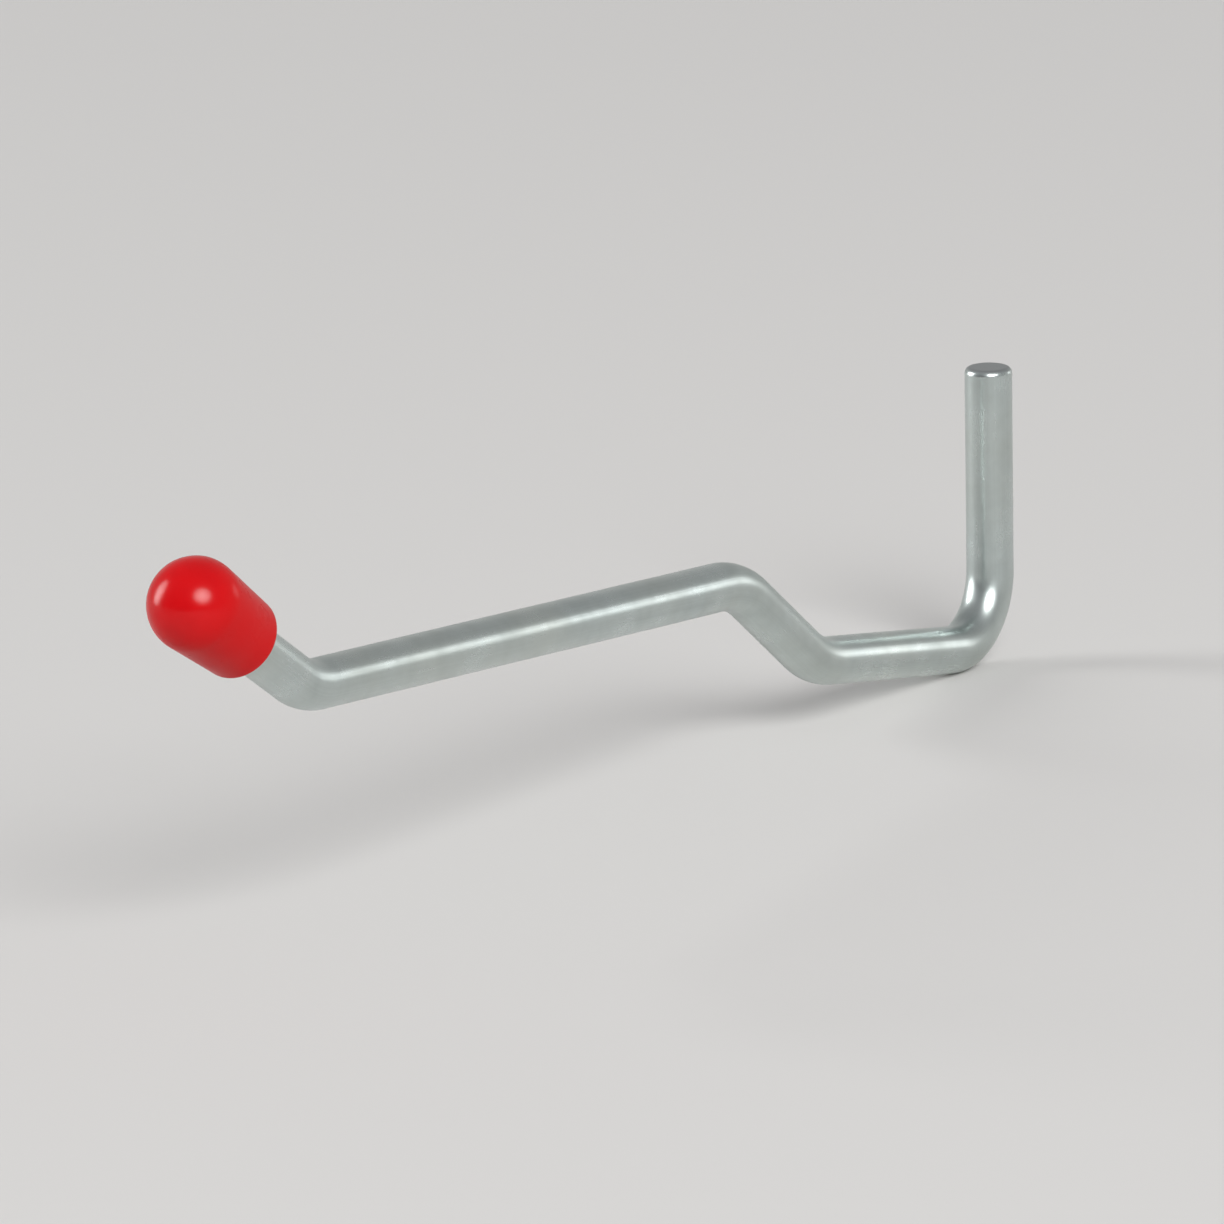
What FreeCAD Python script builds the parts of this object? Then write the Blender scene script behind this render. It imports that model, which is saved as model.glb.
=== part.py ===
import FreeCAD, Part
import math
import os

# A single-wire hook for a perforated panel, with a soft cap pushed over its upturned end.
# Millimetres and degrees. The mounting face is the plane Y = 0 and +Z is up.
# The origin is the wire's centreline where it crosses the mounting face.
# The arm reaches out along -Y and the tail stands up behind the panel, at +Y.

# The wire, and the room behind the mounting face for the panel that it hangs on.
wire_diameter = 3.2
panel_thickness = 6.35
panel_play = 0.3

# The wire's straight stretches, from the hidden tail to the capped tip.
tail_straight = 14.0
shank_straight = 12.6
riser_straight = 7.8
arm_straight = 45.0
bare_tip_straight = 6.2

# The shank's climb from level, then how far each bend in front turns the wire.
shank_climb = 10.5
kick_up_angle = 27.5
level_off_angle = 32.7
tip_up_angle = 29.6

# Bend radii, measured to the wire's centreline.
tail_bend_radius = 4.5
kick_up_radius = 8.0
level_off_radius = 8.0
tip_bend_radius = 6.0

# Both cut ends of the wire are tumbled to a small round.
wire_end_round = 0.4

# The soft cap: its hold on the wire, its walls, its swelling towards the dome, and its edges.
cap_grip = 6.4
cap_wall = 1.0
cap_swell = 0.35
cap_end_wall = 2.05
cap_lip_round = 0.4
cap_lead_in = 0.2
cap_bore_play = 0.02
cap_end_play = 0.05

# The tail runs straight down, clear of the panel's back, and meets the shank's line in one corner.
wire_radius = wire_diameter / 2
tail_climb = -90
tail_angle = shank_climb - tail_climb
tail_y = panel_thickness + panel_play + wire_radius
tail_tangent = tail_bend_radius * math.tan(math.radians(tail_angle) / 2)
tail_corner_z = -tail_y * math.tan(math.radians(shank_climb))
shank_behind_face = tail_y / math.cos(math.radians(shank_climb)) - tail_tangent

# Climbs of the stretches in front, each from the one before it.
riser_climb = shank_climb + kick_up_angle
arm_climb = riser_climb - level_off_angle
tip_climb = arm_climb + tip_up_angle

# The cap is built outwards from the wire that it grips.
bore_radius = wire_radius + cap_bore_play
bore_depth = cap_grip + cap_end_play
mouth_radius = bore_radius + cap_wall
dome_radius = mouth_radius + cap_swell
cap_length = bore_depth + cap_end_wall


def along(climb):
    # Unit vector along the wire where it heads outwards at this climb from level.
    angle = math.radians(climb)
    return FreeCAD.Vector(0, -math.cos(angle), math.sin(angle))


def upward(climb):
    # Unit vector square to the wire, on the side that an upward bend turns to.
    angle = math.radians(climb)
    return FreeCAD.Vector(0, math.sin(angle), math.cos(angle))


def add_straight(edges, start, climb, length):
    end = start + along(climb) * length
    edges.append(Part.LineSegment(start, end).toShape())
    return end


def add_bend(edges, start, climb, turn, radius):
    # A positive turn bends the wire upwards and a negative one downwards.
    side = math.copysign(radius, turn)
    centre = start + upward(climb) * side
    middle = centre - upward(climb + turn / 2) * side
    end = centre - upward(climb + turn) * side
    edges.append(Part.Arc(start, middle, end).toShape())
    return end


def wire_route():
    # The centreline from the tail's top to the capped end: straights joined by tangent bends.
    edges = []
    tail_top = FreeCAD.Vector(0, tail_y, tail_corner_z + tail_tangent + tail_straight)
    point = add_straight(edges, tail_top, tail_climb, tail_straight)
    point = add_bend(edges, point, tail_climb, tail_angle, tail_bend_radius)
    point = add_straight(edges, point, shank_climb, shank_behind_face + shank_straight)
    point = add_bend(edges, point, shank_climb, kick_up_angle, kick_up_radius)
    point = add_straight(edges, point, riser_climb, riser_straight)
    point = add_bend(edges, point, riser_climb, -level_off_angle, level_off_radius)
    point = add_straight(edges, point, arm_climb, arm_straight)
    point = add_bend(edges, point, arm_climb, tip_up_angle, tip_bend_radius)
    add_straight(edges, point, tip_climb, bare_tip_straight + cap_grip)
    cap_mouth = point + along(tip_climb) * bare_tip_straight
    return Part.Wire(edges), cap_mouth


def wire_hook(route):
    # One round section carried along the whole centreline, with both cut ends rounded over.
    tail_top = route.OrderedVertexes[0].Point
    section = Part.Circle(tail_top, along(tail_climb), wire_radius).toShape()
    bar = route.makePipeShell([Part.Wire(section)], True, True)
    cut_faces = [face for face in bar.Faces if isinstance(face.Surface, Part.Plane)]
    rims = [edge for face in cut_faces for edge in face.Edges]
    return bar.makeFillet(wire_end_round, rims)


def cap_body():
    # Turned about Z with the mouth at Z = 0: a cone that runs tangent into a round dome.
    dome_centre = cap_length - dome_radius
    slant = math.hypot(dome_centre, mouth_radius)
    taper = math.asin(dome_radius / slant) - math.atan2(mouth_radius, dome_centre)

    def on_dome(angle):
        return FreeCAD.Vector(dome_radius * math.cos(angle), 0, dome_centre + dome_radius * math.sin(angle))

    base = FreeCAD.Vector(0, 0, 0)
    rim = FreeCAD.Vector(mouth_radius, 0, 0)
    shoulder = on_dome(-taper)
    top = on_dome(math.pi / 2)
    outline = [
        Part.LineSegment(base, rim).toShape(),
        Part.LineSegment(rim, shoulder).toShape(),
        Part.Arc(shoulder, on_dome(math.pi / 4), top).toShape(),
        Part.LineSegment(top, base).toShape(),
    ]
    return Part.Face(Part.Wire(outline)).revolve(base, FreeCAD.Vector(0, 0, 1), 360)


def mouth_rims(solid):
    # The two edges of the cap's flat mouth: the bore's rim, then the outer one.
    mouth = min(solid.Faces, key=lambda face: face.CenterOfMass.z)
    return sorted(mouth.Edges, key=lambda edge: edge.Length)


def tip_cap(cap_mouth):
    # A blind bore that ends round like the wire's end, with an eased mouth and a soft lip.
    bore = Part.makeCylinder(bore_radius, bore_depth)
    bore_end = max(bore.Edges, key=lambda edge: edge.CenterOfMass.z)
    cap = cap_body().cut(bore.makeFillet(wire_end_round, [bore_end]))
    cap = cap.makeChamfer(cap_lead_in, [mouth_rims(cap)[0]])
    cap = cap.makeFillet(cap_lip_round, [mouth_rims(cap)[-1]])
    lean = FreeCAD.Rotation(FreeCAD.Vector(0, 0, 1), along(tip_climb))
    cap.Placement = FreeCAD.Placement(cap_mouth, lean)
    return cap


def build():
    os.makedirs("parts", exist_ok=True)
    route, cap_mouth = wire_route()
    pieces = {
        "wire_hook": wire_hook(route),
        "tip_cap": tip_cap(cap_mouth),
    }
    for node, shape in pieces.items():
        shape.exportStep(f"parts/{node}.step")


build()
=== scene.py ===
# %% [markdown]
# A bent wire hook with a soft red cap
#
# The real object is one length of steel wire, bent four times and plated with
# zinc, and a soft vinyl cap that is pushed over its free end. A lesson in two
# pieces is a good place to learn how far a shape can be carried by a few named
# measures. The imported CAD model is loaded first, as a frame that never moves,
# and everything made below is laid exactly where that frame says.

# %% Load the frame and keep its box
import bmesh
import bpy
import math
from collections import namedtuple
from mathutils import Matrix, Vector, noise


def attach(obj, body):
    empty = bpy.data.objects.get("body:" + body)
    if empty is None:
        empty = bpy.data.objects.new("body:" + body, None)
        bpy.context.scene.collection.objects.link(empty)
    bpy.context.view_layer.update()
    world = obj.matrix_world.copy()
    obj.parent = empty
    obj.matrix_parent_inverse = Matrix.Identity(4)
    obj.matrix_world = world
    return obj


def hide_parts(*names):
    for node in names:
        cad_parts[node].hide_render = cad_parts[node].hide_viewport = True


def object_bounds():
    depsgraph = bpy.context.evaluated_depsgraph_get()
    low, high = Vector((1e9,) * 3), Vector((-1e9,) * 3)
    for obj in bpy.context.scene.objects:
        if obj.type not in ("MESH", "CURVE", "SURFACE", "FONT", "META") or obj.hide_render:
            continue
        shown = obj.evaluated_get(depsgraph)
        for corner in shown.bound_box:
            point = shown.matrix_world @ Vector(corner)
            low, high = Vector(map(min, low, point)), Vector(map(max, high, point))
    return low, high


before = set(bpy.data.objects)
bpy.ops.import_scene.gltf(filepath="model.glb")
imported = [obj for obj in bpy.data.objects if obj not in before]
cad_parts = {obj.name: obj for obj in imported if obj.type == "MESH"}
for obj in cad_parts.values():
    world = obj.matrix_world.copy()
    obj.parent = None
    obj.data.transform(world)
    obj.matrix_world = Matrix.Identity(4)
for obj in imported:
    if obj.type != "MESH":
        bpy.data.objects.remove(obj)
cad_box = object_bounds()
MM = 0.001


def in_mm(box):
    """The two corners of a box in millimetres, rounded for printing."""
    return [[round(value / MM, 2) for value in corner] for corner in box]


print("CAD nodes:", sorted(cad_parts))
print("CAD box in mm:", in_mm(cad_box))

# %% [markdown]
# The camera comes first, because every later choice is judged through it.
#
# The picture that is being matched was taken from in front and to the right,
# a little above the arm, and the camera leaned about one degree. The place
# below was worked out from parts of the picture whose spacing is known. The
# hook is small there, so this camera stands in the same place and only uses a
# longer lens. That keeps the perspective and brings the wire close enough to
# see its finish.

# %% Camera
CAMERA_PLACE = Vector((0.3392, -0.5553, 0.17245))
CAMERA_LEAN = math.radians(1.07)
CAMERA_LENS = 296.0
SENSOR_WIDTH = 36.0
NEAREST_SEEN = 0.01


def add_camera(place, target, lean, lens):
    """A camera at a place, turned to a target and leaned about its own axis."""
    data = bpy.data.cameras.new("hook_camera")
    data.lens = lens
    data.sensor_width = SENSOR_WIDTH
    data.clip_start = NEAREST_SEEN
    camera = bpy.data.objects.new("hook_camera", data)
    bpy.context.scene.collection.objects.link(camera)
    turn = (target - place).to_track_quat("-Z", "Y").to_matrix().to_4x4()
    camera.matrix_world = Matrix.Translation(place) @ turn @ Matrix.Rotation(-lean, 4, "Z")
    return camera


box_middle = (Vector(cad_box[0]) + Vector(cad_box[1])) / 2
camera = add_camera(CAMERA_PLACE, box_middle, CAMERA_LEAN, CAMERA_LENS)
bpy.context.scene.camera = camera
print("Camera distance in mm:", round((CAMERA_PLACE - box_middle).length / MM))

# %% [markdown]
# The wire's route is a bend schedule, as a wire former writes it.
#
# A former feeds a straight length, makes a bend of some angle and radius, feeds
# again, and so on. The same list describes the wire here. A curve object with a
# round bevel would be the quick way to draw it, but its bends would only be as
# true as its handles. With the schedule, each bend is an exact arc, and any
# distance along the wire gives one point and one slope.

# %% Measures of the wire, in millimetres and degrees
WIRE_RADIUS = 1.6
PANEL_ROOM = 6.65
TAIL_CLIMB = -90.0
SHANK_CLIMB = 10.5
TAIL_TURN = SHANK_CLIMB - TAIL_CLIMB
TAIL_BEND_RADIUS = 4.5
TAIL_LENGTH = 14.0
SHANK_IN_FRONT = 12.6
BARE_TIP = 6.2
CAP_GRIP = 6.4

tail_back = PANEL_ROOM + WIRE_RADIUS
tail_tangent = TAIL_BEND_RADIUS * math.tan(math.radians(TAIL_TURN / 2))
tail_foot = tail_tangent - tail_back * math.tan(math.radians(SHANK_CLIMB))
shank_behind = tail_back / math.cos(math.radians(SHANK_CLIMB)) - tail_tangent

# Each row is a straight feed, then the turn and the radius of the bend after it
BEND_SCHEDULE = [
    ("tail", TAIL_LENGTH, TAIL_TURN, TAIL_BEND_RADIUS),
    ("shank", shank_behind + SHANK_IN_FRONT, 27.5, 8.0),
    ("riser", 7.8, -32.7, 8.0),
    ("arm", 45.0, 29.6, 6.0),
    ("tip", BARE_TIP + CAP_GRIP, 0.0, 0.0),
]
print("Straight feeds in mm:", {name: round(feed, 2) for name, feed, turn, radius in BEND_SCHEDULE})


# %% Lay the stretches end to end
Stretch = namedtuple("Stretch", "name start climb begin length side")


def forward(climb):
    """Direction of the wire where it heads outwards at this climb, in radians."""
    return Vector((0.0, -math.cos(climb), math.sin(climb)))


def upper(climb):
    """Direction square to the wire, on its upper side."""
    return Vector((0.0, math.sin(climb), math.cos(climb)))


def lay_stretches():
    """The schedule as stretches. A bend's side is its radius, below 0 where it turns down."""
    stretches = []
    point = Vector((0.0, tail_back, tail_foot + TAIL_LENGTH))
    climb = math.radians(TAIL_CLIMB)
    run = 0.0
    for name, feed, turn_degrees, radius in BEND_SCHEDULE:
        stretches.append(Stretch(name, point.copy(), climb, run, feed, 0.0))
        point = point + forward(climb) * feed
        run += feed
        if radius == 0.0:
            continue
        turn = math.radians(turn_degrees)
        side = math.copysign(radius, turn)
        length = radius * abs(turn)
        stretches.append(Stretch(name + "_bend", point.copy(), climb, run, length, side))
        point = point + (upper(climb) - upper(climb + turn)) * side
        climb += turn
        run += length
    return stretches


STRETCHES = lay_stretches()
BENDS = [stretch for stretch in STRETCHES if stretch.side != 0.0]
WIRE_LENGTH = STRETCHES[-1].begin + STRETCHES[-1].length
print("Wire length before bending in mm:", round(WIRE_LENGTH, 2))
print("Wire in each bend in mm:", {bend.name: round(bend.length, 2) for bend in BENDS})


# %% Walk along the route
def on_route(run):
    """Point and climb of the wire's middle line, this far from the tail's end."""
    reached = (each for each in STRETCHES if run <= each.begin + each.length)
    stretch = next(reached, STRETCHES[-1])
    step = run - stretch.begin
    if stretch.side == 0.0:
        return stretch.start + forward(stretch.climb) * step, stretch.climb
    turned = stretch.climb + step / stretch.side
    return stretch.start + (upper(stretch.climb) - upper(turned)) * stretch.side, turned


tip_end, tip_climb = on_route(WIRE_LENGTH)
print("Reach of the bare wire in mm:", round(-tip_end.y, 2))
print("Climb of the tip in degrees:", round(math.degrees(tip_climb), 1))

# %% [markdown]
# Both pieces are skins over a row of rings.
#
# A wire is a ring carried along a route, and a cap is a ring that grows and
# shrinks along an axis. One helper can therefore skin both. It also stores, for
# each vertex, where that bit of surface was before the wire was bent, and how
# much making the hook has worked it. The materials read this place instead of
# the world position, so marks from the drawing die run along the wire and
# follow it round each bend, as real ones do.

# %% One ring
RING_SIDES = 96
RING_ANGLES = [2.0 * math.pi * step / RING_SIDES for step in range(RING_SIDES)]


def ring_at(middle, climb, along, reaches):
    """A ring's points round a middle one, and each point's place before bending."""
    points = []
    places = []
    for angle, reach in zip(RING_ANGLES, reaches):
        across = math.cos(angle) * reach
        high = math.sin(angle) * reach
        points.append(middle + Vector((across, 0.0, 0.0)) + upper(climb) * high)
        places.append(Vector((across, high, along)))
    return points, places


print("Sides of a ring:", RING_SIDES)


# %% Skin a row of rings
def add_ring(shape, unbent, worked, points, places, share):
    """Vertices for one ring, each with its own history."""
    row = []
    for point, place in zip(points, places):
        vertex = shape.verts.new(point * MM)
        vertex[unbent] = place
        vertex[worked] = share
        row.append(vertex)
    return row


def close_end(shape, unbent, worked, row):
    """Fan an end ring to one vertex in its middle."""
    middle = shape.verts.new(sum((vertex.co for vertex in row), Vector()) / RING_SIDES)
    middle[unbent] = sum((vertex[unbent] for vertex in row), Vector()) / RING_SIDES
    middle[worked] = row[0][worked]
    for step in range(RING_SIDES):
        shape.faces.new((row[step], row[(step + 1) % RING_SIDES], middle))


def skin_rings(name, rings):
    """Join rings of points, places and a worked share with quads, and close both ends."""
    mesh = bpy.data.meshes.new(name)
    shape = bmesh.new()
    unbent = shape.verts.layers.float_vector.new("unbent")
    worked = shape.verts.layers.float.new("worked")
    rows = [add_ring(shape, unbent, worked, *ring) for ring in rings]
    for row, after in zip(rows, rows[1:]):
        for step in range(RING_SIDES):
            ahead = (step + 1) % RING_SIDES
            shape.faces.new((row[step], row[ahead], after[ahead], after[step]))
    for row in (rows[0], rows[-1]):
        close_end(shape, unbent, worked, row)
    bmesh.ops.recalc_face_normals(shape, faces=shape.faces)
    for face in shape.faces:
        face.smooth = True
    shape.to_mesh(mesh)
    shape.free()
    piece = bpy.data.objects.new(name, mesh)
    bpy.context.scene.collection.objects.link(piece)
    print(name, "has", len(mesh.vertices), "vertices and", len(mesh.polygons), "faces")
    return piece


# %% [markdown]
# The wire's surface is round, but not perfectly so.
#
# Plating and straightening leave the wire very slightly uneven, which is what makes a long highlight
# waver. The bending tool leaves more: a small flat where its pin pressed on the inside of a bend. Both
# are a few hundredths of a millimetre. They could be bump in the material, but as real relief they are
# in the mesh itself and reach the silhouette.

# %% Relief of the wire's surface
UNEVEN_DEPTH = 0.007
UNEVEN_ROUND = 0.55
UNEVEN_ALONG = 0.16
PIN_FLAT_DEPTH = 0.055
PIN_FLAT_HALF_WIDTH = math.radians(21.0)
PIN_FLAT_SPREAD = 0.42


def bell(distance, spread):
    """A smooth hump that is 1 at no distance and fades over the spread."""
    return math.exp(-(distance / spread) ** 2)


def wire_relief(run, angle):
    """How far the surface stands off the true round, in mm."""
    sample = Vector((math.cos(angle), math.sin(angle), 0.0)) * UNEVEN_ROUND * WIRE_RADIUS
    sample.z = run * UNEVEN_ALONG
    relief = noise.noise(sample) * UNEVEN_DEPTH
    for bend in BENDS:
        inner = math.copysign(math.pi / 2, bend.side)
        off_inner = math.remainder(angle - inner, 2.0 * math.pi)
        off_middle = run - bend.begin - bend.length / 2
        flat = bell(off_middle, bend.length * PIN_FLAT_SPREAD) * bell(off_inner, PIN_FLAT_HALF_WIDTH)
        relief -= PIN_FLAT_DEPTH * flat
    return relief


for bend in BENDS:
    pressed = wire_relief(bend.begin + bend.length / 2, math.copysign(math.pi / 2, bend.side))
    print(bend.name, "is pressed in by, in mm:", round(-pressed, 3))

# %% [markdown]
# Rings are spent where the shape needs them.
#
# A straight stretch would need only two rings, but the unevenness needs some in
# between. A bend has more, so that its outline and highlight stay smooth, and
# each rounded end has its own. The same even spacing everywhere would be simpler,
# and would need many more rings for bends as smooth as these.

# %% Where the wire's rings go
END_ROUND = 0.4
END_ROUND_STEPS = 8
END_FACE_SHARES = (0.2, 0.45, 0.65)
STRAIGHT_STEP = 0.5
BEND_STEP = 0.22


def end_rings():
    """Run and radius of the rings that close an end, from its face to its side."""
    rings = [(0.0, WIRE_RADIUS * share) for share in END_FACE_SHARES]
    for step in range(END_ROUND_STEPS + 1):
        angle = math.pi / 2 * step / END_ROUND_STEPS
        run = END_ROUND * (1.0 - math.cos(angle))
        radius = WIRE_RADIUS - END_ROUND * (1.0 - math.sin(angle))
        rings.append((run, radius))
    return rings


def wire_runs():
    """Run and radius of every ring along the wire."""
    runs = end_rings()
    for stretch in STRETCHES:
        pitch = STRAIGHT_STEP if stretch.side == 0.0 else BEND_STEP
        count = math.ceil(stretch.length / pitch)
        for step in range(1, count + 1):
            run = stretch.begin + stretch.length * step / count
            if END_ROUND < run < WIRE_LENGTH - END_ROUND:
                runs.append((run, WIRE_RADIUS))
    runs.extend((WIRE_LENGTH - run, radius) for run, radius in reversed(end_rings()))
    return runs


print("Rings along the wire:", len(wire_runs()))

# %% Make the wire
BEND_FADE = 1.2


def fading_share(inside, fade):
    """1 well inside an edge and 0 well outside it, with an even fade across it."""
    return min(max(inside / fade + 0.5, 0.0), 1.0)


def worked_by_bending(run):
    """1 inside a bend, fading to 0 a little way beyond both its ends."""
    insides = [min(run - bend.begin, bend.begin + bend.length - run) for bend in BENDS]
    return fading_share(max(insides), BEND_FADE)


def make_wire():
    """Carry the ring along the route and skin it."""
    rings = []
    for run, radius in wire_runs():
        middle, climb = on_route(run)
        reaches = [radius + wire_relief(run, angle) for angle in RING_ANGLES]
        rings.append((*ring_at(middle, climb, run, reaches), worked_by_bending(run)))
    return skin_rings("plated_wire", rings)


plated_wire = make_wire()

# %% [markdown]
# The cap is turned from one profile.
#
# A soft cap is made by dipping or moulding over a pin, so every cut along its
# axis shows the same outline: a bore, a rounded lip, a side that widens a little
# and a round dome. The profile is listed from the bore's floor, out through the
# mouth and back up to the dome, and then spun. Spinning it by hand rather than
# with a Screw modifier lets the lip and side be a touch uneven, as soft vinyl is.

# %% Measures of the cap, in millimetres
BORE_RADIUS = 1.62
BORE_DEPTH = 6.45
BORE_FLOOR_SHARES = (0.25, 0.5, 0.7)
MOUTH_RADIUS = 2.62
DOME_RADIUS = 2.97
CAP_LENGTH = 8.5
LIP_ROUND = 0.4
LEAD_IN = 0.2
ARC_STEPS = 10
SIDE_STEPS = 22
DOME_STEPS = 30

dome_middle = CAP_LENGTH - DOME_RADIUS
mouth_to_dome = math.hypot(dome_middle, MOUTH_RADIUS)
side_taper = math.asin(DOME_RADIUS / mouth_to_dome) - math.atan2(MOUTH_RADIUS, dome_middle)
print("Cap taper in degrees:", round(math.degrees(side_taper), 2))


# %% The cap's profile, as radius and height above the mouth
def arc_points(radius_middle, height_middle, size, start, stop, steps):
    """Points on an arc of the profile, both ends included."""
    points = []
    for step in range(steps + 1):
        angle = start + (stop - start) * step / steps
        points.append((
            radius_middle + size * math.cos(angle),
            height_middle + size * math.sin(angle),
        ))
    return points


def line_points(start, stop, steps):
    """Points between two corners of the profile, both ends left out."""
    return [
        tuple(a + (b - a) * step / steps for a, b in zip(start, stop))
        for step in range(1, steps)
    ]


def cap_profile():
    """The outline of the cap from its bore's floor to the top of its dome."""
    quarter = math.pi / 2
    floor = [(BORE_RADIUS * share, BORE_DEPTH) for share in BORE_FLOOR_SHARES]
    corner = arc_points(
        BORE_RADIUS - END_ROUND, BORE_DEPTH - END_ROUND, END_ROUND, quarter, 0.0, ARC_STEPS
    )
    lead_top = (BORE_RADIUS, LEAD_IN)
    lead_foot = (BORE_RADIUS + LEAD_IN, 0.0)
    bore = line_points(corner[-1], lead_top, SIDE_STEPS)
    lip_middle = MOUTH_RADIUS + LIP_ROUND * (math.tan(side_taper) - 1.0 / math.cos(side_taper))
    lip = arc_points(lip_middle, LIP_ROUND, LIP_ROUND, -quarter, -side_taper, ARC_STEPS)
    dome = arc_points(0.0, dome_middle, DOME_RADIUS, -side_taper, quarter, DOME_STEPS)[:-1]
    side = line_points(lip[-1], dome[0], SIDE_STEPS)
    return floor + corner + bore + [lead_top, lead_foot] + lip + side + dome


print("Points in the cap's profile:", len(cap_profile()))

# %% Make the cap
CAP_UNEVEN = 0.018
CAP_UNEVEN_SIZE = 0.42
STRETCH_FADE = 1.6


def cap_relief(radius, angle, height):
    """How far the soft outer skin stands off its true round, in mm."""
    in_bore = height <= BORE_DEPTH and radius <= BORE_RADIUS + LEAD_IN
    if in_bore:
        return 0.0
    sample = Vector((math.cos(angle) * radius, math.sin(angle) * radius, height))
    towards_axis = min(radius / MOUTH_RADIUS, 1.0)
    return noise.noise(sample * CAP_UNEVEN_SIZE) * CAP_UNEVEN * towards_axis


def worked_by_stretching(height):
    """1 where the vinyl is stretched over the wire, fading to 0 in the solid dome."""
    return fading_share(BORE_DEPTH - height, STRETCH_FADE)


def make_cap():
    """Spin the profile about the wire's tip and skin it."""
    mouth, climb = on_route(WIRE_LENGTH - CAP_GRIP)
    rings = []
    for radius, height in cap_profile():
        middle = mouth + forward(climb) * height
        reaches = [radius + cap_relief(radius, angle, height) for angle in RING_ANGLES]
        rings.append((*ring_at(middle, climb, height, reaches), worked_by_stretching(height)))
    return skin_rings("vinyl_cap", rings)


vinyl_cap = make_cap()

# %% [markdown]
# A few helpers keep the material cells short.
#
# A node is added with its settings and its inputs in one call. An input is
# either a plain value or the output of another node, and in that case the call
# draws the link. This reads like a recipe, from the first texture to the last
# socket.

# %% Helpers for shader nodes
def fill_inputs(tree, node, inputs):
    """Link each input that is given a socket, and set each that is given a value."""
    for key, value in inputs.items():
        if isinstance(value, bpy.types.NodeSocket):
            tree.links.new(value, node.inputs[key])
        else:
            node.inputs[key].default_value = value


def add_node(tree, kind, inputs, **settings):
    """Add a node, set its settings, and fill or link its inputs."""
    made = tree.nodes.new(kind)
    for name, value in settings.items():
        setattr(made, name, value)
    fill_inputs(tree, made, inputs)
    return made


def calculate(tree, operation, first, second=0.0, clamp=False):
    """One Math node, and its result."""
    inputs = {0: first, 1: second}
    return add_node(tree, "ShaderNodeMath", inputs, operation=operation, use_clamp=clamp).outputs[0]


def add_masks(tree, value, strengths):
    """A value with each mask added at its own strength."""
    for mask, strength in strengths:
        value = calculate(tree, "ADD", value, calculate(tree, "MULTIPLY", mask, strength))
    return value


def stretch_place(tree, place, factors):
    """A place multiplied by three factors, to size or stretch a texture."""
    inputs = {0: place, 1: factors}
    return add_node(tree, "ShaderNodeVectorMath", inputs, operation="MULTIPLY").outputs[0]


def remap(tree, value, limits, to_limits):
    """A value between two limits carried over to two others, and clamped."""
    inputs = {"Value": value}
    inputs["From Min"], inputs["From Max"] = limits
    inputs["To Min"], inputs["To Max"] = to_limits
    return add_node(tree, "ShaderNodeMapRange", inputs, clamp=True).outputs["Result"]


def mix_colours(tree, factor, first, second):
    """A blend of two colours, whose sockets have numbers 6 and 7 on a Mix node."""
    made = add_node(tree, "ShaderNodeMix", {0: factor, 6: first, 7: second}, data_type="RGBA")
    return made.outputs[2]


# %% Helpers for node groups
def start_group(name, inputs, outputs):
    """An empty node group with named sockets, and its two end nodes."""
    tree = bpy.data.node_groups.new(name, "ShaderNodeTree")
    for label, kind, value in inputs:
        made = tree.interface.new_socket(name=label, in_out="INPUT", socket_type=kind)
        if value is not None:
            made.default_value = value
    for label, kind in outputs:
        tree.interface.new_socket(name=label, in_out="OUTPUT", socket_type=kind)
    return tree, tree.nodes.new("NodeGroupInput"), tree.nodes.new("NodeGroupOutput")


def place_group(tree, group, inputs):
    """The outputs of a group that is placed in a material with its own values."""
    return add_node(tree, "ShaderNodeGroup", inputs, node_tree=group).outputs


# %% [markdown]
# Two effects are shared, so each is a node group.
#
# Neither the plating nor the vinyl has one even tone, and both pick up hairline
# scuffs when things are hung on and off. A group holds each effect once, with
# its size and strength as named inputs. A material then places it with values
# of its own.

# %% Soft mottle
NOISE_MIDDLE = 0.5
MOTTLE_DETAIL = 4.0
MOTTLE_ROUGHNESS = 0.55


def build_soft_mottle():
    """Cloudy patches of a given size, from 0 to 1."""
    tree, given, result = start_group(
        "soft_mottle",
        [
            ("Place", "NodeSocketVector", None),
            ("Patch Size", "NodeSocketFloat", 1.0),
            ("Contrast", "NodeSocketFloat", 1.0),
        ],
        [("Mask", "NodeSocketFloat")],
    )
    clouds = add_node(
        tree,
        "ShaderNodeTexNoise",
        {
            "Vector": given.outputs["Place"],
            "Scale": calculate(tree, "DIVIDE", 1.0, given.outputs["Patch Size"]),
            "Detail": MOTTLE_DETAIL,
            "Roughness": MOTTLE_ROUGHNESS,
        },
    )
    centred = calculate(tree, "SUBTRACT", clouds.outputs[0], NOISE_MIDDLE)
    spread = calculate(tree, "MULTIPLY", centred, given.outputs["Contrast"])
    mask = calculate(tree, "ADD", spread, NOISE_MIDDLE, clamp=True)
    fill_inputs(tree, result, {"Mask": mask})
    return tree


SOFT_MOTTLE = build_soft_mottle()
print(SOFT_MOTTLE.name, "has", len(SOFT_MOTTLE.nodes), "nodes")

# %% Hairline scuffs
SCUFF_SLANTS = ((0.4, 1.1, 0.2), (1.9, 0.3, 1.2))
SCUFF_STROKE = (1.0, 0.015, 0.015)
SCUFF_PATCH_SCALE = 0.7
SCUFF_PATCH_EDGE = 0.08


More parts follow.
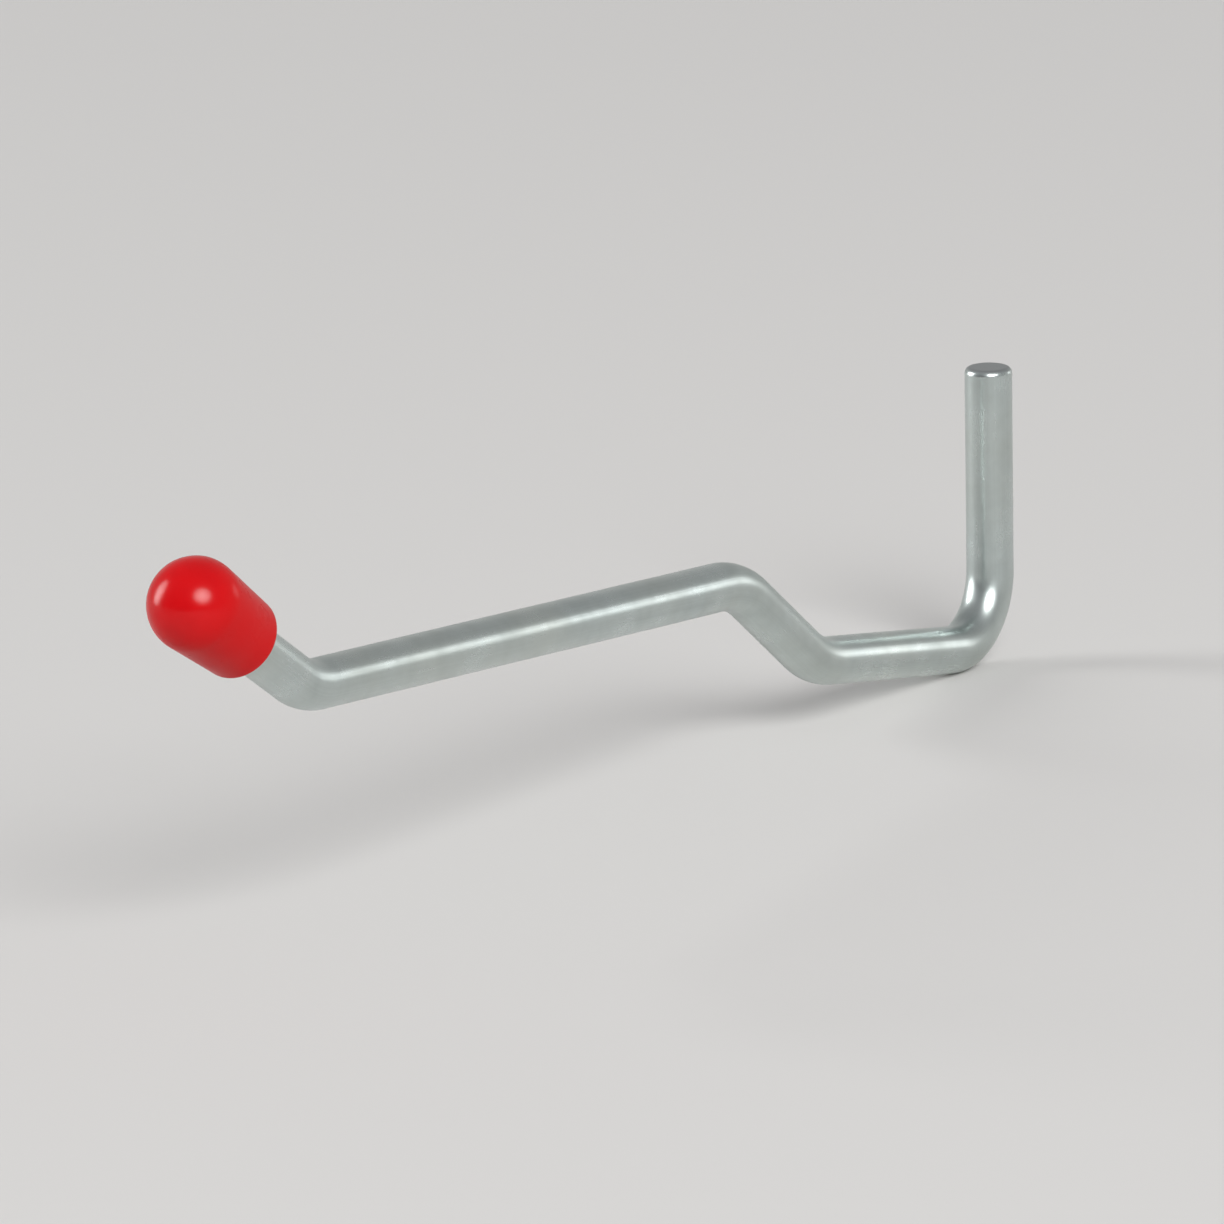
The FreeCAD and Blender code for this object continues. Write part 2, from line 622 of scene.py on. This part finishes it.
def scuff_strokes(tree, given, slant):
    """Long thin strokes in one slant, kept only in a few patches."""
    turned = add_node(
        tree,
        "ShaderNodeVectorRotate",
        {"Vector": given.outputs["Place"], "Rotation": slant},
        rotation_type="EULER_XYZ",
    ).outputs["Vector"]
    scale = calculate(tree, "DIVIDE", 1.0, given.outputs["Spacing"])
    stroke = {"Vector": stretch_place(tree, turned, SCUFF_STROKE), "Scale": scale, "Detail": 0.0}
    field = add_node(tree, "ShaderNodeTexNoise", stroke).outputs[0]
    off_line = calculate(tree, "ABSOLUTE", calculate(tree, "SUBTRACT", field, NOISE_MIDDLE))
    line = remap(tree, off_line, (0.0, given.outputs["Width"]), (1.0, 0.0))
    patch = {"Vector": turned, "Scale": SCUFF_PATCH_SCALE, "Detail": 1.0}
    patches = add_node(tree, "ShaderNodeTexNoise", patch).outputs[0]
    room = calculate(tree, "SUBTRACT", given.outputs["Amount"], patches)
    kept = remap(tree, room, (0.0, SCUFF_PATCH_EDGE), (0.0, 1.0))
    return calculate(tree, "MULTIPLY", line, kept)


def build_hairline_scuffs():
    """Thin straight scratches, as a mask that is 1 on a scratch."""
    tree, given, result = start_group(
        "hairline_scuffs",
        [
            ("Place", "NodeSocketVector", None),
            ("Spacing", "NodeSocketFloat", 1.0),
            ("Width", "NodeSocketFloat", 0.02),
            ("Amount", "NodeSocketFloat", 0.5),
        ],
        [("Mask", "NodeSocketFloat")],
    )
    first, second = [scuff_strokes(tree, given, slant) for slant in SCUFF_SLANTS]
    fill_inputs(tree, result, {"Mask": calculate(tree, "MAXIMUM", first, second)})
    return tree


HAIRLINE_SCUFFS = build_hairline_scuffs()
print(HAIRLINE_SCUFFS.name, "has", len(HAIRLINE_SCUFFS.nodes), "nodes")


# %% Start a material
def start_material(name):
    """A node material: its shader, the unbent place in mm and the worked share."""
    material = bpy.data.materials.new(name)
    material.use_nodes = True
    tree = material.node_tree
    shader = next(node for node in tree.nodes if node.type == "BSDF_PRINCIPLED")
    place = add_node(tree, "ShaderNodeAttribute", {}, attribute_name="unbent").outputs["Vector"]
    worked = add_node(tree, "ShaderNodeAttribute", {}, attribute_name="worked").outputs["Fac"]
    return material, tree, shader, place, worked


def give_finish(piece, material):
    """Put a material on a piece and say how much went into it."""
    piece.data.materials.append(material)
    print(piece.name, "wears", material.name, "with", len(material.node_tree.nodes), "nodes")


# %% [markdown]
# Bright zinc plate on drawn wire
#
# The wire is pulled through a die, which leaves fine lines along it, and the
# plating that follows softens them into a satin sheen with a faint blue-green
# cast. A metal shader with one roughness would look like chrome or like grey
# paint. Here the drawn lines go into the tone, the roughness and the bump, cloudy
# patches shift the tint, and hairline scuffs lie across them. Where the wire was
# bent, the plating is a little duller, and the sheared end of the tail is rougher.

# %% Tone and roughness of the zinc
ZINC_CLEAR = (0.59, 0.655, 0.65, 1.0)
ZINC_DULL = (0.46, 0.515, 0.505, 1.0)
ZINC_WARM = (0.57, 0.60, 0.55, 1.0)
ZINC_SHEARED = (0.40, 0.42, 0.42, 1.0)
LINE_DULLING = 0.7
BEND_DULLING = 0.2
WARM_SHARE = 0.5
LINE_SPREAD = (0.3, 0.7)
ZINC_SATIN = (0.24, 0.275)
CLOUD_HAZE = 0.07
SCUFF_HAZE = 0.14
BEND_HAZE = 0.05
SHEAR_HAZE = 0.22


def zinc_tone(tree, lines, clouds, tint, worked, sheared):
    """The plating's colour: streaked, cloudy, faintly tinted, duller where it was worked."""
    streaks = calculate(tree, "SUBTRACT", lines, NOISE_MIDDLE)
    dulled = add_masks(tree, clouds, ((streaks, LINE_DULLING), (worked, BEND_DULLING)))
    tone = mix_colours(tree, dulled, ZINC_CLEAR, ZINC_DULL)
    tone = mix_colours(tree, calculate(tree, "MULTIPLY", tint, WARM_SHARE), tone, ZINC_WARM)
    return mix_colours(tree, sheared, tone, ZINC_SHEARED)


def zinc_roughness(tree, lines, clouds, scuffs, worked, sheared):
    """Satin along the drawn lines, hazier in patches, on scuffs and at bends."""
    satin = remap(tree, lines, LINE_SPREAD, ZINC_SATIN)
    hazes = ((clouds, CLOUD_HAZE), (scuffs, SCUFF_HAZE), (worked, BEND_HAZE), (sheared, SHEAR_HAZE))
    return add_masks(tree, satin, hazes)


print("Zinc roughness along its lines:", ZINC_SATIN)

# %% Zinc plate
DRAW_LINES = (9.0, 9.0, 0.04)
SHEAR_LINES = (1.0, 6.0, 0.5)
SHEARED_UNTIL = (0.02, 0.2)
ZINC_CLOUDS = {"Patch Size": 2.4, "Contrast": 2.0}
ZINC_TINT = {"Patch Size": 9.0, "Contrast": 2.4}
ZINC_SCUFFS = {"Spacing": 0.45, "Width": 0.012, "Amount": 0.42}
SCUFF_CUT = 0.5
SHEAR_TEAR = 20.0
ZINC_BUMP = {"Strength": 0.02, "Distance": 0.02 * MM}


def drawn_lines(tree, place, stretch):
    """Fine streaks, long in one direction and close in the others."""
    streaks = stretch_place(tree, place, stretch)
    inputs = {"Vector": streaks, "Scale": 1.0, "Detail": 3.0, "Roughness": 0.5}
    return add_node(tree, "ShaderNodeTexNoise", inputs).outputs[0]


def build_zinc_plate():
    """Satin metal with drawn lines, a cloudy tint and hairline scuffs."""
    material, tree, shader, place, worked = start_material("zinc_plate")
    clouds = place_group(tree, SOFT_MOTTLE, {"Place": place, **ZINC_CLOUDS})["Mask"]
    tint = place_group(tree, SOFT_MOTTLE, {"Place": place, **ZINC_TINT})["Mask"]
    scuffs = place_group(tree, HAIRLINE_SCUFFS, {"Place": place, **ZINC_SCUFFS})["Mask"]
    run = add_node(tree, "ShaderNodeSeparateXYZ", {"Vector": place}).outputs["Z"]
    sheared = remap(tree, run, SHEARED_UNTIL, (1.0, 0.0))
    lines = drawn_lines(tree, place, DRAW_LINES)
    tears = calculate(tree, "MULTIPLY", sheared, drawn_lines(tree, place, SHEAR_LINES))
    height = add_masks(tree, lines, ((scuffs, -SCUFF_CUT), (tears, SHEAR_TEAR)))
    bump = add_node(tree, "ShaderNodeBump", {"Height": height, **ZINC_BUMP})
    fill_inputs(tree, shader, {
        "Base Color": zinc_tone(tree, lines, clouds, tint, worked, sheared),
        "Roughness": zinc_roughness(tree, lines, clouds, scuffs, worked, sheared),
        "Normal": bump.outputs["Normal"],
        "Metallic": 1.0,
    })
    return material


give_finish(plated_wire, build_zinc_plate())

# %% [markdown]
# Glossy red vinyl
#
# The cap is soft plasticised vinyl with its pigment all the way through. Its skin
# is glossy, with a slight orange peel, and light goes a little way in before it
# comes out red. Where the cap is stretched over the wire it is a shade paler and
# duller than in the solid dome. Strong colour needs little help, so the mottle is
# faint, and most of the work is in the gloss: a thin clear coat over a soft base,
# thinner where the vinyl is stretched or scuffed.

# %% Tone and gloss of the vinyl
VINYL_BRIGHT = (0.57, 0.001, 0.003, 1.0)
VINYL_DEEP = (0.50, 0.002, 0.004, 1.0)
VINYL_STRETCHED = (0.54, 0.004, 0.005, 1.0)
STRETCH_PALENESS = 0.8
MOTTLE_SPREAD = (0.2, 0.8)
VINYL_GLOSS = (0.55, 0.50)
STRETCH_GLOSS_LOSS = 0.26
SCUFF_GLOSS_LOSS = 0.10
VINYL_SATIN = (0.20, 0.28)
STRETCH_HAZE = 0.06
VINYL_SCUFF_HAZE = 0.15


def vinyl_tone(tree, clouds, worked):
    """The pigment's colour: faintly mottled, and paler where it is stretched."""
    tone = mix_colours(tree, clouds, VINYL_BRIGHT, VINYL_DEEP)
    paleness = calculate(tree, "MULTIPLY", worked, STRETCH_PALENESS)
    return mix_colours(tree, paleness, tone, VINYL_STRETCHED)


def vinyl_gloss(tree, clouds, scuffs, worked):
    """How much clear skin is left: most on the dome, less where stretched or scuffed."""
    gloss = remap(tree, clouds, MOTTLE_SPREAD, VINYL_GLOSS)
    gloss = add_masks(tree, gloss, ((worked, -STRETCH_GLOSS_LOSS), (scuffs, -SCUFF_GLOSS_LOSS)))
    return calculate(tree, "MAXIMUM", gloss, 0.0)


def vinyl_roughness(tree, clouds, scuffs, worked):
    """Smooth, and hazier on scuffs and where it is stretched."""
    satin = remap(tree, clouds, MOTTLE_SPREAD, VINYL_SATIN)
    return add_masks(tree, satin, ((scuffs, VINYL_SCUFF_HAZE), (worked, STRETCH_HAZE)))


print("Clear skin on the dome:", VINYL_GLOSS[0])
print("Clear skin on the stretched side:", round(VINYL_GLOSS[0] - STRETCH_GLOSS_LOSS, 2))

# %% Red vinyl
VINYL_CLOUDS = {"Patch Size": 1.8, "Contrast": 1.6}
VINYL_PEEL = {"Patch Size": 0.5, "Contrast": 1.0}
VINYL_SCUFFS = {"Spacing": 0.5, "Width": 0.009, "Amount": 0.36}
VINYL_SCUFF_CUT = 0.12
VINYL_BUMP = {"Strength": 0.10, "Distance": 0.06 * MM}
VINYL_CONSTANTS = {
    "IOR": 1.53,
    "Specular IOR Level": 0.01,
    "Coat Roughness": 0.21,
    "Subsurface Weight": 0.08,
    "Subsurface Radius": (1.0, 0.12, 0.08),
    "Subsurface Scale": 0.8 * MM,
}


def build_red_vinyl():
    """Soft glossy red with faint mottle, orange peel and hairline scuffs."""
    material, tree, shader, place, worked = start_material("red_vinyl")
    clouds = place_group(tree, SOFT_MOTTLE, {"Place": place, **VINYL_CLOUDS})["Mask"]
    peel = place_group(tree, SOFT_MOTTLE, {"Place": place, **VINYL_PEEL})["Mask"]
    scuffs = place_group(tree, HAIRLINE_SCUFFS, {"Place": place, **VINYL_SCUFFS})["Mask"]
    height = add_masks(tree, peel, ((scuffs, -VINYL_SCUFF_CUT),))
    bump = add_node(tree, "ShaderNodeBump", {"Height": height, **VINYL_BUMP})
    fill_inputs(tree, shader, {
        "Base Color": vinyl_tone(tree, clouds, worked),
        "Roughness": vinyl_roughness(tree, clouds, scuffs, worked),
        "Coat Weight": vinyl_gloss(tree, clouds, scuffs, worked),
        "Normal": bump.outputs["Normal"],
        **VINYL_CONSTANTS,
    })
    return material


give_finish(vinyl_cap, build_red_vinyl())

# %% [markdown]
# The pieces take the place of the CAD nodes.
#
# Each mesh stands for one CAD solid, which stays in the scene, hidden. The hook has no joint, so both
# pieces ride on its only body.

# %% Tie the pieces to the frame
for piece, node_name, slot_name in (
    (plated_wire, "wire_hook", "zinc_plate"),
    (vinyl_cap, "tip_cap", "red_vinyl"),
):
    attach(piece, "root")
    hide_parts(node_name)
    print(piece.name, "stands for", node_name)

# %% [markdown]
# A pale floor and a quiet room
#
# Metal shows only what is around it. The floor is matt and pale, and the room is
# a soft gradient, lighter behind the hook and darker overhead and in front, so
# the round wire gets light and dark bands along it. One even grey all round would
# be simpler, but the wire would look flat in it.

# %% Floor
FLOOR_TONE = (0.66, 0.65, 0.635, 1.0)
FLOOR_ROUGHNESS = 0.8
FLOOR_SHINE = 0.1
FLOOR_REACH = 4.0


def add_floor(height):
    """A wide matt floor that just touches the lowest point of the hook."""
    mesh = bpy.data.meshes.new("floor")
    corners = [
        (x * FLOOR_REACH, y * FLOOR_REACH, height)
        for x, y in ((-1, -1), (1, -1), (1, 1), (-1, 1))
    ]
    mesh.from_pydata(corners, [], [(0, 1, 2, 3)])
    floor = bpy.data.objects.new("floor", mesh)
    bpy.context.scene.collection.objects.link(floor)
    material = bpy.data.materials.new("pale_floor")
    material.use_nodes = True
    fill_inputs(material.node_tree, material.node_tree.nodes["Principled BSDF"], {
        "Base Color": FLOOR_TONE,
        "Roughness": FLOOR_ROUGHNESS,
        "Specular IOR Level": FLOOR_SHINE,
    })
    mesh.materials.append(material)


floor_height = cad_box[0][2]
add_floor(floor_height)
print("Floor height in mm:", round(floor_height / MM, 2))

# %% Room
ROOM_BEHIND = (0.55, 0.55, 0.54, 1.0)
ROOM_IN_FRONT = (0.16, 0.16, 0.17, 1.0)
ROOM_OVERHEAD = (0.32, 0.32, 0.33, 1.0)
BACK_FADE = (-0.6, 0.6)
TOP_FADE = (0.1, 0.8)


def light_room():
    """A soft gradient all round: one tone behind, one in front, one overhead."""
    world = bpy.data.worlds.new("quiet_room")
    bpy.context.scene.world = world
    world.use_nodes = True
    tree = world.node_tree
    direction = add_node(tree, "ShaderNodeTexCoord", {}).outputs["Generated"]
    parts = add_node(tree, "ShaderNodeSeparateXYZ", {"Vector": direction}).outputs
    to_back = remap(tree, parts["Y"], BACK_FADE, (0.0, 1.0))
    to_top = remap(tree, parts["Z"], TOP_FADE, (0.0, 1.0))
    level = mix_colours(tree, to_back, ROOM_IN_FRONT, ROOM_BEHIND)
    tone = mix_colours(tree, to_top, level, ROOM_OVERHEAD)
    fill_inputs(tree, tree.nodes["Background"], {"Color": tone})
    return world


print("Room light:", light_room().name)

# %% [markdown]
# Three soft lamps
#
# The highlights on the round cap tell where the lamps stood: a broad one near
# the camera, higher and to its right, and a tall narrow one far to the left.
# Area lamps of those shapes give the same two marks. A real soft lamp is brighter
# in its middle, so a smaller area lamp stands just in front of each. A third, weak
# one behind the hook gives the wire the pale line that runs along its upper side.

# %% Lamps
# Each row is a name, azimuth and elevation in degrees, distance, width and height in metres, and watts
LAMPS = [
    ("broad_key", 54.0, 34.0, 2.0, 1.35, 1.15, 33.0),
    ("key_middle", 54.0, 34.0, 1.97, 0.6, 0.5, 4.0),
    ("left_strip", -69.0, 16.0, 2.0, 0.85, 1.6, 24.0),
    ("strip_middle", -69.0, 16.0, 1.97, 0.4, 0.8, 3.0),
    ("back_glow", 154.0, 9.0, 2.0, 0.66, 0.62, 1.7),
]


def add_lamp(name, azimuth, elevation, distance, width, height, power):
    """An area lamp on a sphere round the hook, turned to face it."""
    data = bpy.data.lights.new(name, "AREA")
    data.shape = "ELLIPSE"
    data.size = width
    data.size_y = height
    data.energy = power
    lamp = bpy.data.objects.new(name, data)
    bpy.context.scene.collection.objects.link(lamp)
    round_hook = math.radians(azimuth)
    above = math.radians(elevation)
    offset = Vector((
        math.sin(round_hook) * math.cos(above),
        -math.cos(round_hook) * math.cos(above),
        math.sin(above),
    ))
    lamp.location = box_middle + offset * distance
    lamp.rotation_euler = offset.to_track_quat("Z", "Y").to_euler()
    return lamp


for row in LAMPS:
    lamp = add_lamp(*row)
    print(lamp.name, "gives", round(lamp.data.energy, 1), "watts")

# %% [markdown]
# Measure, then hand over
# Show each colour as it was mixed
# The Standard view shows each colour as it was mixed.

# %% Show colours as mixed
bpy.context.scene.view_settings.view_transform = "Standard"
